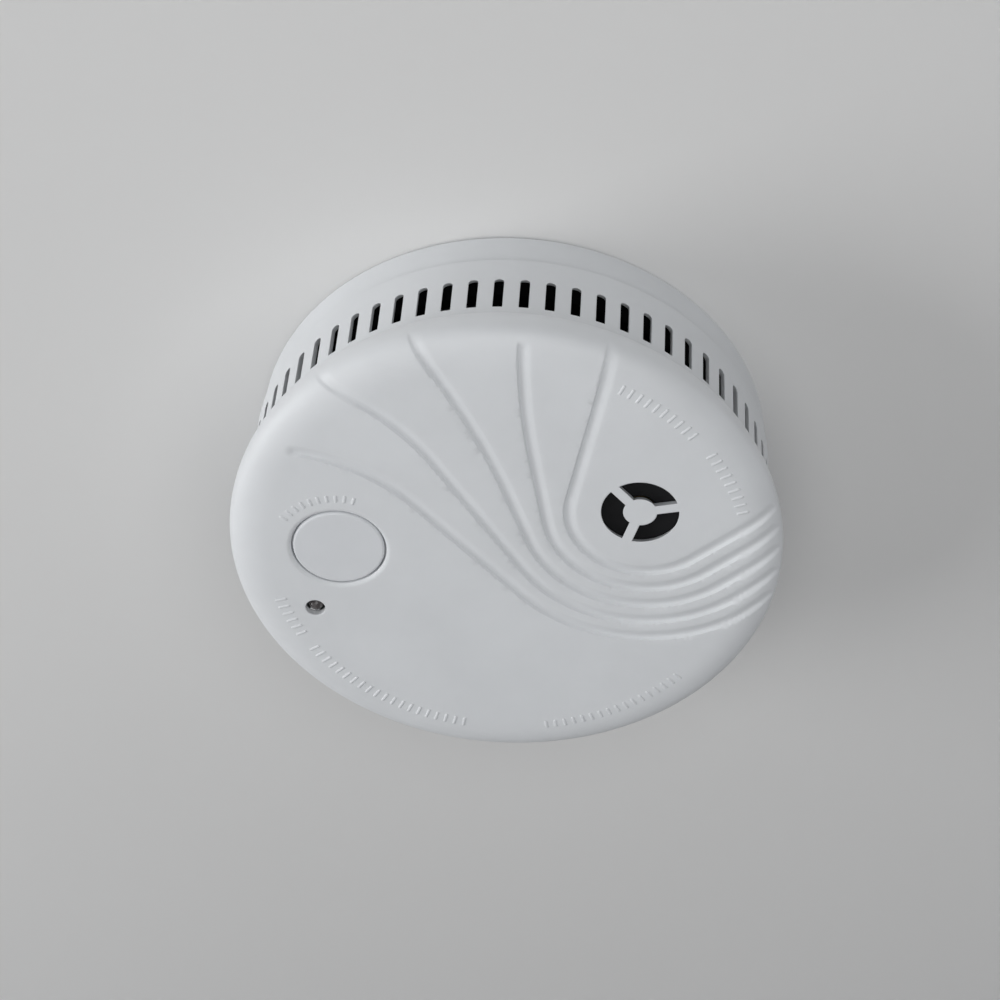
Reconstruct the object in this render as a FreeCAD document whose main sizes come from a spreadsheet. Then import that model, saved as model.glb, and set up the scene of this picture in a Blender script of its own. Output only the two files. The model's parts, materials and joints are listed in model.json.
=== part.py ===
import FreeCAD, Part
import math
import os
import re

import Sketcher
from FreeCAD import Placement, Rotation, Vector

# A ceiling smoke alarm. The origin is the centre of the mounting base's ceiling side, Z points up
# to the ceiling, and every depth below is measured downwards from the ceiling.

# Driving dimensions in millimetres, degrees and counts. They fill the document's sheet.
SIZES = {
    # front cover: vented wall and cap
    "cover_radius": 53.5,
    "total_height": 35.0,
    "wall_radius": 51.0,
    "wall_thick": 1.2,
    "wall_top": 8.9,
    "crease_depth": 24.8,
    "widest_depth": 30.8,
    "edge_round": 4.2,
    "face_inside": 33.6,
    "lip": 0.4,
    "slot_count": 66,
    "slot_width": 1.8,
    "slot_top": 14.4,
    "slot_bottom": 22.9,
    # swirl of five shallow grooves round the sounder grille
    "swirl_x": 25.9,
    "swirl_y": -13.4,
    "swirl_radius": 15.2,
    "swirl_pitch": 4.3,
    "swirl_exit": 43.0,
    "swirl_end_radius": 52.3,
    "swirl_floor": 34.35,
    "swirl_tool_radius": 1.3,
    # sounder grille
    "sounder_x": 25.0,
    "sounder_y": -13.9,
    "grille_radius": 7.4,
    "grille_hub": 3.25,
    "grille_spoke": 2.0,
    "grille_angle": 105.0,
    # test button and indicator
    "button_x": -32.0,
    "button_y": 1.2,
    "button_radius": 8.9,
    "button_depth": 34.8,
    "button_back": 31.4,
    "button_flange": 10.4,
    "button_hole": 9.25,
    "button_bevel": 0.45,
    "button_round": 0.5,
    "stem_radius": 2.0,
    "stem_top": 29.6,
    "led_x": -36.2,
    "led_y": 17.2,
    "led_hole": 1.95,
    "led_radius": 1.5,
    "led_depth": 34.8,
    # mounting base
    "base_radius": 50.4,
    "base_inside": 48.6,
    "base_height": 8.4,
    "base_plate": 2.0,
    "base_opening": 21.0,
    "screw_spacing": 60.0,
    "screw_slot_length": 12.0,
    "screw_slot_width": 4.4,
    # bayonet between the base and the head
    "tab_inside": 46.6,
    "tab_top": 5.6,
    "tab_thick": 1.6,
    "tab_angle": 17.0,
    "lug_outside": 48.2,
    "lug_top": 3.6,
    "lug_thick": 1.6,
    "lug_angle": 14.0,
    "lug_play": 1.5,
    "stop_angle": 2.0,
    "twist": 18.0,
    # rear housing
    "rear_top": 2.8,
    "rear_plate": 2.0,
    "rear_radius": 46.2,
    "rear_wall": 1.8,
    "rear_bottom": 10.4,
    "rear_flange": 48.8,
    # battery and its bay
    "battery_length": 46.4,
    "battery_width": 26.5,
    "battery_thick": 17.5,
    "battery_left": -26.3,
    "battery_y": 18.0,
    "battery_top": 3.3,
    "battery_corner": 2.0,
    "stud_pitch": 12.7,
    "stud_length": 2.1,
    "bay_left": -26.8,
    "bay_right": 27.0,
    "bay_width": 27.5,
    "bay_depth": 21.0,
    "bay_wall": 1.4,
    "rivet_radius": 1.2,
    # circuit board
    "board_top": 23.0,
    "board_thick": 1.6,
    "board_radius": 43.0,
    # smoke chamber
    "chamber_x": -8.0,
    "chamber_y": -21.0,
    "chamber_radius": 19.0,
    "chamber_floor": 1.5,
    "chamber_height": 12.5,
    "vane_count": 24,
    "screen_radius": 19.9,
    "screen_thick": 0.3,
    # horn
    "horn_radius": 15.2,
    "horn_wall": 1.5,
    "horn_ledge": 29.4,
    "horn_mouth": 3.0,
    "piezo_radius": 13.5,
    "piezo_thick": 0.3,
    "ceramic_radius": 10.0,
    # screws that hold the housing and the board
    "boss_circle": 40.5,
    "boss_radius": 3.0,
    "boss_top": 7.8,
    "pilot_radius": 1.1,
    "head_radius": 2.5,
    "post_radius": 2.5,
}

# Each swirl groove: lean of its flank from -Y, length of the flank, radius and sweep of the bend
# that carries it to the rim. A negative radius bends back towards -Y.
SWIRLS = [
    (-8.5, 20.0, 600.0, 1.6),
    (13.0, 16.0, -150.0, 10.0),
    (23.0, 12.0, 161.0, 14.8),
    (36.5, 31.0, 50.0, 32.0),
    (46.0, 30.0, 38.3, 38.6),
]
BOSS_ANGLES = [5.0, 90.0, 205.0]
BOARD_SCREWS = [(22.0, -33.0), (35.0, 18.0), (-31.0, 25.0)]

doc = FreeCAD.newDocument("smoke_alarm")
sheet = doc.addObject("Spreadsheet::Sheet", "Sizes")
for row, (alias, size) in enumerate(SIZES.items(), start=1):
    sheet.set(f"A{row}", alias)
    sheet.set(f"B{row}", str(size))
    sheet.setAlias(f"B{row}", alias)
doc.recompute()


# ---------------------------------------------------------------- helpers


def number(text):
    """Value of a sum such as 'cover_radius - 0.5*wall_thick', read from the sheet."""
    total = 0.0
    sign = 1.0
    for token in text.split():
        if token in ("+", "-"):
            sign = 1.0 if token == "+" else -1.0
            continue
        product = sign
        for factor in token.split("*"):
            negative = factor.startswith("-")
            name = factor.lstrip("-")
            value = float(getattr(sheet, name)) if name in SIZES else float(name)
            product *= -value if negative else value
        total += product
        sign = 1.0
    return total


def bind(item, prop, text):
    """Bind a property of an object to the sheet's cells."""
    item.setExpression(prop, re.sub(r"[a-z]\w*", lambda found: "Sizes." + found.group(), text))


def origin_item(body, role):
    return next(item for item in body.Origin.OriginFeatures if item.Role == role)


def new_body(label):
    body = doc.addObject("PartDesign::Body", label)
    body.Label = label
    return body


def new_sketch(body, name, role):
    sketch = body.newObject("Sketcher::SketchObject", name)
    sketch.AttachmentSupport = (origin_item(body, role), "")
    sketch.MapMode = "FlatFace"
    return sketch


def pin_point(sketch, index, position, x, y):
    """Fix one point of a sketch at coordinates bound to the sheet."""
    for kind, text in (("DistanceX", x), ("DistanceY", y)):
        constraint = sketch.addConstraint(Sketcher.Constraint(kind, index, position, number(text)))
        bind(sketch, f"Constraints[{constraint}]", text)


def arc_centre(start, end, axis, text):
    """Centre of an arc through two points when one of its coordinates is known."""
    middle = (start + end) * 0.5
    span = end - start
    known = number(text)
    if axis == "x":
        return Vector(known, middle.y - (known - middle.x) * span.x / span.y, 0)
    return Vector(middle.x - (known - middle.y) * span.y / span.x, known, 0)


def add_outline(sketch, outline):
    """Closed outline of corners (x, y), with a third item (axis, text) where the run that
    arrives at the corner is an arc whose centre has that coordinate."""
    corners = [Vector(number(corner[0]), number(corner[1]), 0) for corner in outline]
    ends = []
    for index, corner in enumerate(outline):
        start = corners[index - 1]
        end = corners[index]
        if len(corner) == 2:
            line = sketch.addGeometry(Part.LineSegment(start, end), False)
            ends.append((line, 1, 2))
            continue
        axis, text = corner[2]
        centre = arc_centre(start, end, axis, text)
        circle = Part.Circle(centre, Vector(0, 0, 1), start.distanceToPoint(centre))
        first = math.atan2(start.y - centre.y, start.x - centre.x)
        last = math.atan2(end.y - centre.y, end.x - centre.x)
        forward = (last - first) % (2 * math.pi) <= math.pi + 1e-6
        angles = (first, last) if forward else (last, first)
        arc = sketch.addGeometry(Part.ArcOfCircle(circle, *angles), False)
        ends.append((arc, 1, 2) if forward else (arc, 2, 1))
        kind = "DistanceX" if axis == "x" else "DistanceY"
        constraint = sketch.addConstraint(Sketcher.Constraint(kind, arc, 3, number(text)))
        bind(sketch, f"Constraints[{constraint}]", text)
    for index, (item, _, tail) in enumerate(ends):
        following, head, _ = ends[(index + 1) % len(ends)]
        sketch.addConstraint(Sketcher.Constraint("Coincident", item, tail, following, head))
        pin_point(sketch, item, tail, outline[index][0], outline[index][1])


def revolution(body, name, outline):
    sketch = new_sketch(body, name + "_profile", "XZ_Plane")
    add_outline(sketch, outline)
    feature = body.newObject("PartDesign::Revolution", name)
    feature.Profile = sketch
    feature.ReferenceAxis = (sketch, ["V_Axis"])
    feature.Angle = 360.0
    return feature


def pocket(body, name, sketch, length=None):
    """Cut a sketch through everything in front of it, or to a length bound to the sheet."""
    feature = body.newObject("PartDesign::Pocket", name)
    feature.Profile = sketch
    if length is None:
        feature.Type = "ThroughAll"
    else:
        bind(feature, "Length", length)
    return feature


def polar_pattern(body, name, feature, axis, count):
    pattern = body.newObject("PartDesign::PolarPattern", name)
    pattern.Originals = [feature]
    pattern.Axis = axis
    pattern.Angle = 360.0
    bind(pattern, "Occurrences", count)
    body.Tip = pattern
    return pattern


def round_hole(body, name, x, y, radius):
    sketch = new_sketch(body, name + "_outline", "XY_Plane")
    centre = Vector(number(x), number(y), 0)
    circle = Part.Circle(centre, Vector(0, 0, 1), number(radius))
    index = sketch.addGeometry(circle, False)
    pin_point(sketch, index, 3, x, y)
    constraint = sketch.addConstraint(Sketcher.Constraint("Radius", index, number(radius)))
    bind(sketch, f"Constraints[{constraint}]", radius)
    return pocket(body, name, sketch)


def place(item, x, y, z):
    for axis, text in zip("xyz", (x, y, z)):
        bind(item, f"Placement.Base.{axis}", text)


def cylinder(name, radius, length, x, y, z):
    """Upright cylinder whose lower end is at (x, y, z)."""
    item = doc.addObject("Part::Cylinder", name)
    bind(item, "Radius", radius)
    bind(item, "Height", length)
    place(item, x, y, z)
    return item


def box(name, size, corner):
    """Box from its three sizes and its lowest corner."""
    item = doc.addObject("Part::Box", name)
    for prop, text in zip(("Length", "Width", "Height"), size):
        bind(item, prop, text)
    place(item, *corner)
    return item


def fuse(name, items, refine=True):
    item = doc.addObject("Part::MultiFuse", name)
    item.Shapes = items
    item.Refine = refine
    return item


def cut(name, base, tool):
    item = doc.addObject("Part::Cut", name)
    item.Base = base
    item.Tool = tool
    item.Refine = True
    return item


def group(name, shapes):
    """Several separate identical solids kept as one sub-part."""
    item = doc.addObject("Part::Compound", name)
    item.Links = shapes
    item.Label = name
    return item


def ring_sector(name, outer, inner, thick, low, start, sweep):
    """Part of a ring about the Z axis, from a start angle through a sweep."""
    whole = cylinder(name + "_outer", outer, thick, "0", "0", low)
    bind(whole, "Angle", sweep)
    whole.Placement.Rotation = Rotation(Vector(0, 0, 1), start)
    core = cylinder(name + "_inner", inner, thick, "0", "0", low)
    return cut(name, whole, core)


def boss_place(angle):
    """Place of a screw boss, as sums bound to the sheet."""
    x = f"{math.cos(math.radians(angle)):.6f}*boss_circle"
    y = f"{math.sin(math.radians(angle)):.6f}*boss_circle"
    return x, y


def blade_slots(name, depth, low):
    """Two cutters for the slots that the battery contacts' blades pass through."""
    slots = []
    for side in (-1, 1):
        corner = ("bay_right - 2.6", f"battery_y + {side}*0.5*stud_pitch - 2.5", low)
        slots.append(box(name, ("1.2", "5", depth), corner))
    return slots


def label(item, name):
    item.Label = name
    return item


# ---------------------------------------------------------------- mounting base


def stadium(name, along_y, side):
    """Screw slot whose long way points at the base's centre."""
    reach = f"{side}*0.5*screw_spacing"
    straight = "screw_slot_length - screw_slot_width"
    depth = "2*base_plate"
    low = "-1.5*base_plate"
    left = reach + " - 0.5*screw_slot_length + 0.5*screw_slot_width"
    right = reach + " + 0.5*screw_slot_length - 0.5*screw_slot_width"
    across = "-0.5*screw_slot_width"
    if along_y:
        web = box(name + "_web", ("screw_slot_width", straight, depth), (across, left, low))
        ends = [cylinder(name + "_end", "0.5*screw_slot_width", depth, "0", at, low) for at in (left, right)]
    else:
        web = box(name + "_web", (straight, "screw_slot_width", depth), (left, across, low))
        ends = [cylinder(name + "_end", "0.5*screw_slot_width", depth, at, "0", low) for at in (left, right)]
    return fuse(name, [web] + ends)


def mounting_base():
    shell = new_body("mounting_base_shell")
    revolution(shell, "base_shell", [
        ("base_opening", "0"),
        ("base_radius - lip", "0"),
        ("base_radius", "-lip"),
        ("base_radius", "-base_height + lip"),
        ("base_radius - lip", "-base_height"),
        ("base_inside", "-base_height"),
        ("base_inside", "-base_plate"),
        ("base_opening", "-base_plate"),
    ])
    adds = []
    cuts = [stadium(f"screw_slot_{along_y}_{side}", along_y, side) for along_y in (0, 1) for side in (-1, 1)]
    rooted = "base_inside + 0.5"
    for turn in range(3):
        locked = 120.0 * turn + number("lug_play")
        opened = 120.0 * turn - number("lug_angle + twist + lug_play + stop_angle")
        first = locked - number("tab_angle")
        adds.append(ring_sector("bayonet_tab", rooted, "tab_inside", "tab_thick",
                                "-tab_top - tab_thick", first, "tab_angle"))
        adds.append(ring_sector("locked_stop", rooted, "tab_inside", "tab_top + tab_thick - base_plate",
                                "-tab_top - tab_thick", locked, "stop_angle"))
        adds.append(ring_sector("open_stop", rooted, "tab_inside", "tab_top - base_plate",
                                "-tab_top", opened, "stop_angle"))
        cuts.append(ring_sector("moulding_window", "base_inside", "tab_inside - 0.6", "2*base_plate",
                                "-1.5*base_plate", first + 1.0, "tab_angle - 2"))
    solid = fuse("base_fused", [shell] + adds, refine=False)
    return label(cut("base_cut", solid, fuse("base_openings", cuts)), "mounting_base")


# ---------------------------------------------------------------- front cover


def swirl_wire(index):
    """Centre line of one groove, in a plane level with the centre of the round cutter."""
    lean, flank, bend, sweep = SWIRLS[index]
    level = -number("swirl_floor + swirl_tool_radius")
    middle = Vector(number("swirl_x"), number("swirl_y"), level)
    radius = number("swirl_radius") + index * number("swirl_pitch")

    def on_ring(angle):
        turn = math.radians(angle)
        return middle + Vector(math.cos(turn), math.sin(turn), 0) * radius

    leave = 90.0 - number("swirl_exit")
    join = 180.0 - lean
    arrive = on_ring(join)
    depart = on_ring(leave)
    back = Vector(-math.sin(math.radians(lean)), -math.cos(math.radians(lean)), 0)
    flank_end = arrive + back * flank
    side = Vector(back.y, -back.x, 0) * bend
    pivot = flank_end + side

    def on_bend(share):
        turn = Rotation(Vector(0, 0, 1), -math.copysign(sweep * share, bend))
        return pivot + turn.multVec(side * -1)

    leaving = math.radians(number("swirl_exit"))
    out = Vector(math.cos(leaving), -math.sin(leaving), 0)
    flat = Vector(depart.x, depart.y, 0)
    along = flat.dot(out)
    reach = math.sqrt(along ** 2 - flat.dot(flat) + number("swirl_end_radius") ** 2) - along
    edges = [
        Part.Arc(on_bend(1.0), on_bend(0.5), flank_end).toShape(),
        Part.LineSegment(flank_end, arrive).toShape(),
        Part.Arc(arrive, on_ring(0.5 * (join + leave)), depart).toShape(),
        Part.LineSegment(depart, depart + out * reach).toShape(),
    ]
    return Part.Wire(edges)


def swirl_cutters():
    """Round cutters swept along the groove lines, with a ball at each end."""
    cutters = []
    radius = number("swirl_tool_radius")
    for index in range(len(SWIRLS)):
        wire = swirl_wire(index)
        first = wire.Edges[0]
        start = first.valueAt(first.FirstParameter)
        section = Part.Wire(Part.Circle(start, first.tangentAt(first.FirstParameter), radius).toShape())
        tube = wire.makePipeShell([section], True, True)
        cutter = doc.addObject("Part::Feature", f"swirl_cutter_{index}")
        cutter.Shape = tube
        cutters.append(cutter)
    return cutters


def front_cover():
    shell = new_body("front_cover_shell")
    revolution(shell, "cover_shell", [
        ("wall_radius - wall_thick", "-wall_top"),
        ("wall_radius - lip", "-wall_top"),
        ("wall_radius", "-wall_top - lip"),
        ("wall_radius", "-crease_depth"),
        ("cover_radius", "-widest_depth", ("y", "-widest_depth")),
        ("cover_radius - edge_round", "-total_height", ("x", "cover_radius - edge_round")),
        ("0", "-total_height"),
        ("0", "-face_inside"),
        ("cover_radius - 3*wall_thick", "-face_inside"),
        ("cover_radius - wall_thick", "-face_inside + 2*wall_thick"),
        ("cover_radius - wall_thick", "-widest_depth + 0.6*wall_thick"),
        ("wall_radius - wall_thick", "-crease_depth - 0.25*wall_thick"),
    ])
    round_hole(shell, "button_opening", "button_x", "button_y", "button_hole")
    round_hole(shell, "led_opening", "led_x", "led_y", "led_hole")
    bevel = doc.addObject("Part::Cone", "button_bevel_cone")
    bind(bevel, "Radius1", "button_hole + 2*button_bevel")
    bind(bevel, "Radius2", "button_hole - button_bevel")
    bind(bevel, "Height", "2.1*button_bevel")
    place(bevel, "button_x", "button_y", "-total_height - 0.55*button_bevel")
    bosses = []
    pilots = []
    for angle in BOSS_ANGLES:
        x, y = boss_place(angle)
        bosses.append(cylinder("boss", "boss_radius", "face_inside - boss_top + 0.5",
                               x, y, "-face_inside - 0.5"))
        pilots.append(cylinder("pilot", "pilot_radius", "12", x, y, "-boss_top - 12"))
    cover = fuse("cover_with_bosses", [shell] + bosses)
    for index, cutter in enumerate(swirl_cutters()):
        cover = cut(f"cover_swirl_{index}", cover, cutter)
    openings = fuse("cover_cutters", [bevel] + pilots + [grille_windows()])
    cover = cut("cover_without_vents", cover, openings)
    return label(cut("cover_vented", cover, vent_slots()), "front_cover")


def vent_slots():
    """Ring of upright slots through the wall, round at the top and square at the foot."""
    half = 0.5 * number("slot_width")
    reach = 4.0 * number("wall_thick")
    near = Vector(-half, -number("wall_radius") - 1.0, -number("slot_bottom"))
    straight = number("slot_bottom - slot_top") - half
    stem = Part.makeBox(2 * half, reach, straight, near)
    crown = Part.makeCylinder(half, reach, near + Vector(half, 0, straight), Vector(0, 1, 0))
    slot = stem.fuse(crown).removeSplitter()
    count = int(number("slot_count"))
    slots = []
    for turn in range(count):
        copy = slot.copy()
        copy.rotate(Vector(0, 0, 0), Vector(0, 0, 1), 360.0 * turn / count)
        slots.append(copy)
    ring = doc.addObject("Part::Feature", "vent_slots")
    ring.Shape = Part.makeCompound(slots)
    return ring


def grille_windows():
    """Three curved windows of the sounder grille, each between two parallel-sided spokes."""
    ring_height = "total_height - face_inside + 2"
    low = "-total_height - 1"
    disc = cylinder("grille_disc", "grille_radius", ring_height, "sounder_x", "sounder_y", low)
    hub = cylinder("grille_hub_core", "grille_hub", ring_height, "sounder_x", "sounder_y", low)
    spokes = []
    for turn in range(3):
        spoke = box("grille_spoke", ("grille_radius + 1", "grille_spoke", ring_height), ("0", "0", "0"))
        angle = number("grille_angle") + 120.0 * turn
        rotation = Rotation(Vector(0, 0, 1), angle)
        corner = Vector(number("sounder_x"), number("sounder_y"), number(low))
        shift = rotation.multVec(Vector(0, -0.5 * number("grille_spoke"), 0))
        for axis in "xyz":
            spoke.setExpression(f"Placement.Base.{axis}", None)
        spoke.Placement = Placement(corner + shift, rotation)
        spokes.append(spoke)
    return cut("grille_windows", disc, fuse("grille_frame", [hub] + spokes))


# ---------------------------------------------------------------- rear housing


def rear_housing():
    shell = new_body("rear_housing_shell")
    revolution(shell, "rear_shell", [
        ("0", "-rear_top"),
        ("rear_radius - lip", "-rear_top"),
        ("rear_radius", "-rear_top - lip"),
        ("rear_radius", "-wall_top"),
        ("rear_flange", "-wall_top"),
        ("rear_flange", "-rear_bottom"),
        ("rear_radius - rear_wall", "-rear_bottom"),
        ("rear_radius - rear_wall", "-rear_top - rear_plate"),
        ("0", "-rear_top - rear_plate"),
    ])
    adds = [box("bay_box", ("bay_right - bay_left + 2*bay_wall", "bay_width + 2*bay_wall",
                            "bay_depth + bay_wall - rear_top - 0.5*rear_plate"),
                ("bay_left - bay_wall", "battery_y - 0.5*bay_width - bay_wall", "-bay_depth - bay_wall"))]
    cuts = [box("bay_cavity", ("bay_right - bay_left", "bay_width", "bay_depth + 5"),
                ("bay_left", "battery_y - 0.5*bay_width", "-bay_depth"))]
    cuts += blade_slots("contact_slot", "2*bay_wall + 1", "-bay_depth - bay_wall - 1")
    for angle in BOSS_ANGLES:
        x, y = boss_place(angle)
        adds.append(cylinder("screw_pad", "boss_radius + 1", "boss_top - rear_top - 0.5*rear_plate",
                             x, y, "-boss_top"))
        cuts.append(cylinder("screw_well", "boss_radius", "boss_top - rear_top", x, y, "-boss_top + 2"))
        cuts.append(cylinder("screw_clearance", "pilot_radius + 0.4", "10", x, y, "-boss_top - 2"))
    for x, y in BOARD_SCREWS:
        adds.append(cylinder("board_post", "post_radius", "board_top - rear_top - 0.5*rear_plate",
                             str(x), str(y), "-board_top"))
        cuts.append(cylinder("post_pilot", "0.8*pilot_radius", "10", str(x), str(y), "-board_top"))
    for turn in range(3):
        first = 120.0 * turn - number("lug_angle")
        adds.append(ring_sector("bayonet_lug", "lug_outside", "rear_radius - 0.5*rear_wall", "lug_thick",
                                "-lug_top - lug_thick", first, "lug_angle"))
    solid = fuse("rear_fused", [shell] + adds)
    return label(cut("rear_cut", solid, fuse("rear_cutters", cuts)), "rear_housing")


# ---------------------------------------------------------------- button, its spring and switch


def test_button():
    body = new_body("test_button")
    revolution(body, "button_turned", [
        ("0", "-button_depth"),
        ("button_radius - button_round", "-button_depth"),
        ("button_radius", "-button_depth + button_round", ("x", "button_radius - button_round")),
        ("button_radius", "-face_inside + 0.3"),
        ("button_flange", "-face_inside + 0.3"),
        ("button_flange", "-button_back"),
        ("stem_radius", "-button_back"),
        ("stem_radius", "-stem_top"),
        ("0", "-stem_top"),
    ])
    place(body, "button_x", "button_y", "0")
    return body


def button_spring():
    """Coil spring round the push switch, from the board to the button's back."""
    wire = 0.3
    coil = 5.1
    low = -number("button_back") + wire
    high = -number("board_top + board_thick") - wire
    helix = Part.makeHelix((high - low) / 4.0, high - low, coil)
    helix.translate(Vector(0, 0, low))
    section = Part.Wire(Part.Circle(Vector(coil, 0, low), Vector(0, 1, 0), wire).toShape())
    spring = doc.addObject("Part::Feature", "button_spring")
    spring.Shape = Part.Wire(helix.Edges).makePipeShell([section], True, True)
    place(spring, "button_x", "button_y", "0")
    return spring


def test_switch():
    block = box("switch_block", ("6", "6", "3.5"),
                ("button_x - 3", "button_y - 3", "-board_top - board_thick - 3.5"))
    bore = cylinder("switch_bore", "1.83", "3.5", "button_x", "button_y",
                    "-board_top - board_thick - 5.1")
    return label(cut("switch_cut", block, bore), "test_switch")


def switch_plunger():
    return cylinder("switch_plunger", "1.75", "2.2", "button_x", "button_y", "-stem_top")


def indicator_led():
    top = "-board_top - board_thick - 3"
    flange = cylinder("led_flange", "led_radius + 0.35", "0.8", "led_x", "led_y", top + " - 0.8")
    barrel = cylinder("led_barrel", "led_radius", "led_depth - board_top - board_thick - 3 - led_radius",
                      "led_x", "led_y", "-led_depth + led_radius")
    tip = doc.addObject("Part::Sphere", "led_tip")
    bind(tip, "Radius", "led_radius")
    place(tip, "led_x", "led_y", "-led_depth + led_radius")
    return label(fuse("led_fused", [flange, barrel, tip]), "indicator_led")


def led_spacer():
    return cylinder("led_spacer", "led_radius + 0.35", "3", "led_x", "led_y", "-board_top - board_thick - 3")


# ---------------------------------------------------------------- circuit board and its parts


def circuit_board():
    disc = cylinder("board_disc", "board_radius", "board_thick", "0", "0", "-board_top - board_thick")
    low = "-board_top - 1.5*board_thick"
    cuts = []
    for angle in BOSS_ANGLES:
        x, y = boss_place(angle)
        cuts.append(cylinder("board_notch", "boss_radius + 0.5", "2*board_thick", x, y, low))
    for x, y in BOARD_SCREWS:
        cuts.append(cylinder("board_hole", "pilot_radius + 0.3", "2*board_thick", str(x), str(y), low))
    cuts += blade_slots("board_slot", "2*board_thick", low)
    return label(cut("board_cut", disc, fuse("board_cutters", cuts)), "circuit_board")


def detector_chip():
    return box("detector_chip", ("6.5", "19.5", "3.4"), ("2", "8", "-board_top - board_thick - 3.4"))


def lying_drum(name, radius, length, x, y):
    """Round component lying on the board's lower side, along X."""
    drum = doc.addObject("Part::Cylinder", name)
    drum.Radius = radius
    drum.Height = length
    depth = number("board_top + board_thick") + radius
    drum.Placement = Placement(Vector(x, y, -depth), Rotation(Vector(0, 1, 0), 90))
    return drum


def storage_capacitor():
    return lying_drum("storage_capacitor", 3.15, 11.0, -22.0, 27.0)


def horn_inductor():
    foot = cylinder("inductor_foot", "4.5", "1", "20", "12", "-board_top - board_thick - 1")
    core = cylinder("inductor_core", "3.4", "6.5", "20", "12", "-board_top - board_thick - 6.5")
    head = cylinder("inductor_head", "4.5", "1", "20", "12", "-board_top - board_thick - 6.5")
    return label(fuse("inductor_fused", [foot, core, head]), "horn_inductor")


def resistors():
    spots = [(x, y) for y in (8.0, 12.0, 16.0) for x in (-14.0, -5.0)]
    return group("resistors", [lying_drum("resistor", 1.1, 6.3, x, y) for x, y in spots])


def ceramic_capacitors():
    spots = [(30.0, 22.0), (30.0, 27.0), (14.0, 30.0), (20.0, 33.0)]
    low = "-board_top - board_thick - 3.6"
    plates = [box("ceramic", ("1.6", "4", "3.6"), (str(x), str(y), low)) for x, y in spots]
    return group("ceramic_capacitors", plates)


# ---------------------------------------------------------------- smoke chamber


def chamber_base():
    body = new_body("chamber_base_turned")
    revolution(body, "chamber_floor_disc", [
        ("0", "-board_top"),
        ("chamber_radius", "-board_top"),
        ("chamber_radius", "-board_top + chamber_floor"),
        ("0", "-board_top + chamber_floor"),
    ])
    place(body, "chamber_x", "chamber_y", "0")
    vanes = []
    count = int(number("vane_count"))
    low = number("-board_top + 0.5*chamber_floor")
    centre = Vector(number("chamber_x"), number("chamber_y"), low)
    for turn in range(count):
        vane = Part.makeBox(5.6, 0.9, number("chamber_height - 0.5*chamber_floor"), Vector(-2.8, -0.45, 0))
        vane.rotate(Vector(0, 0, 0), Vector(0, 0, 1), 58.0)
        vane.translate(Vector(number("chamber_radius") - 2.8, 0, 0))
        vane.rotate(Vector(0, 0, 0), Vector(0, 0, 1), 360.0 * turn / count)
        vane.translate(centre)
        vanes.append(vane)
    labyrinth = doc.addObject("Part::Feature", "labyrinth_vanes")
    labyrinth.Shape = Part.makeCompound(vanes)
    return label(fuse("chamber_fused", [body, labyrinth]), "chamber_base")


def chamber_cover():
    lid = cylinder("chamber_cover", "chamber_radius + 0.2", "chamber_floor", "chamber_x", "chamber_y",
                   "-board_top + chamber_height")
    return lid


def insect_screen():
    """Thin perforated band round the chamber's vanes."""
    body = new_body("insect_screen")
    revolution(body, "screen_band", [
        ("screen_radius", "-board_top"),
        ("screen_radius + screen_thick", "-board_top"),
        ("screen_radius + screen_thick", "-board_top + chamber_height"),
        ("screen_radius", "-board_top + chamber_height"),
    ])
    window = new_sketch(body, "screen_window_outline", "XZ_Plane")
    add_outline(window, [
        ("-0.6", "-board_top + chamber_floor"),
        ("0.6", "-board_top + chamber_floor"),
        ("0.6", "-board_top + chamber_height - chamber_floor"),
        ("-0.6", "-board_top + chamber_height - chamber_floor"),
    ])
    opening = pocket(body, "screen_window", window, "chamber_radius + 5")
    polar_pattern(body, "screen_windows", opening, (origin_item(body, "Z_Axis"), [""]), "2*vane_count")
    place(body, "chamber_x", "chamber_y", "0")
    return body


def lying_device(name, radius, length, angle, distance):
    """Optical device lying in the chamber with its round nose towards the centre."""
    turn = math.radians(angle)
    heading = Vector(-math.cos(turn), -math.sin(turn), 0)
    centre = Vector(number("chamber_x"), number("chamber_y"), -number("board_top - chamber_floor") + 3.2)
    start = centre - heading * distance
    barrel = Part.makeCylinder(radius, length, start, heading)
    nose = Part.makeSphere(radius, start + heading * length)
    device = doc.addObject("Part::Feature", name)
    device.Shape = barrel.fuse(nose).removeSplitter()
    device.Label = name
    return device


# ---------------------------------------------------------------- horn


def horn_housing():
    body = new_body("horn_housing")
    inner = "horn_radius - horn_wall"
    revolution(body, "horn_cup", [
        (inner, "-board_top - board_thick"),
        ("horn_radius", "-board_top - board_thick"),
        ("horn_radius", "-face_inside"),
        ("horn_mouth", "-face_inside"),
        ("horn_mouth", "-face_inside + 1.2"),
        ("horn_radius - 2*horn_wall", "-face_inside + 1.2"),
        ("horn_radius - 2*horn_wall", "-horn_ledge"),
        (inner, "-horn_ledge"),
    ])
    place(body, "sounder_x", "sounder_y", "0")
    return body


def piezo_disc():
    return cylinder("piezo_disc", "piezo_radius", "piezo_thick", "sounder_x", "sounder_y", "-horn_ledge")


def piezo_ceramic():
    return cylinder("piezo_ceramic", "ceramic_radius", "piezo_thick", "sounder_x", "sounder_y",
                    "-horn_ledge + piezo_thick")


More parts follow.
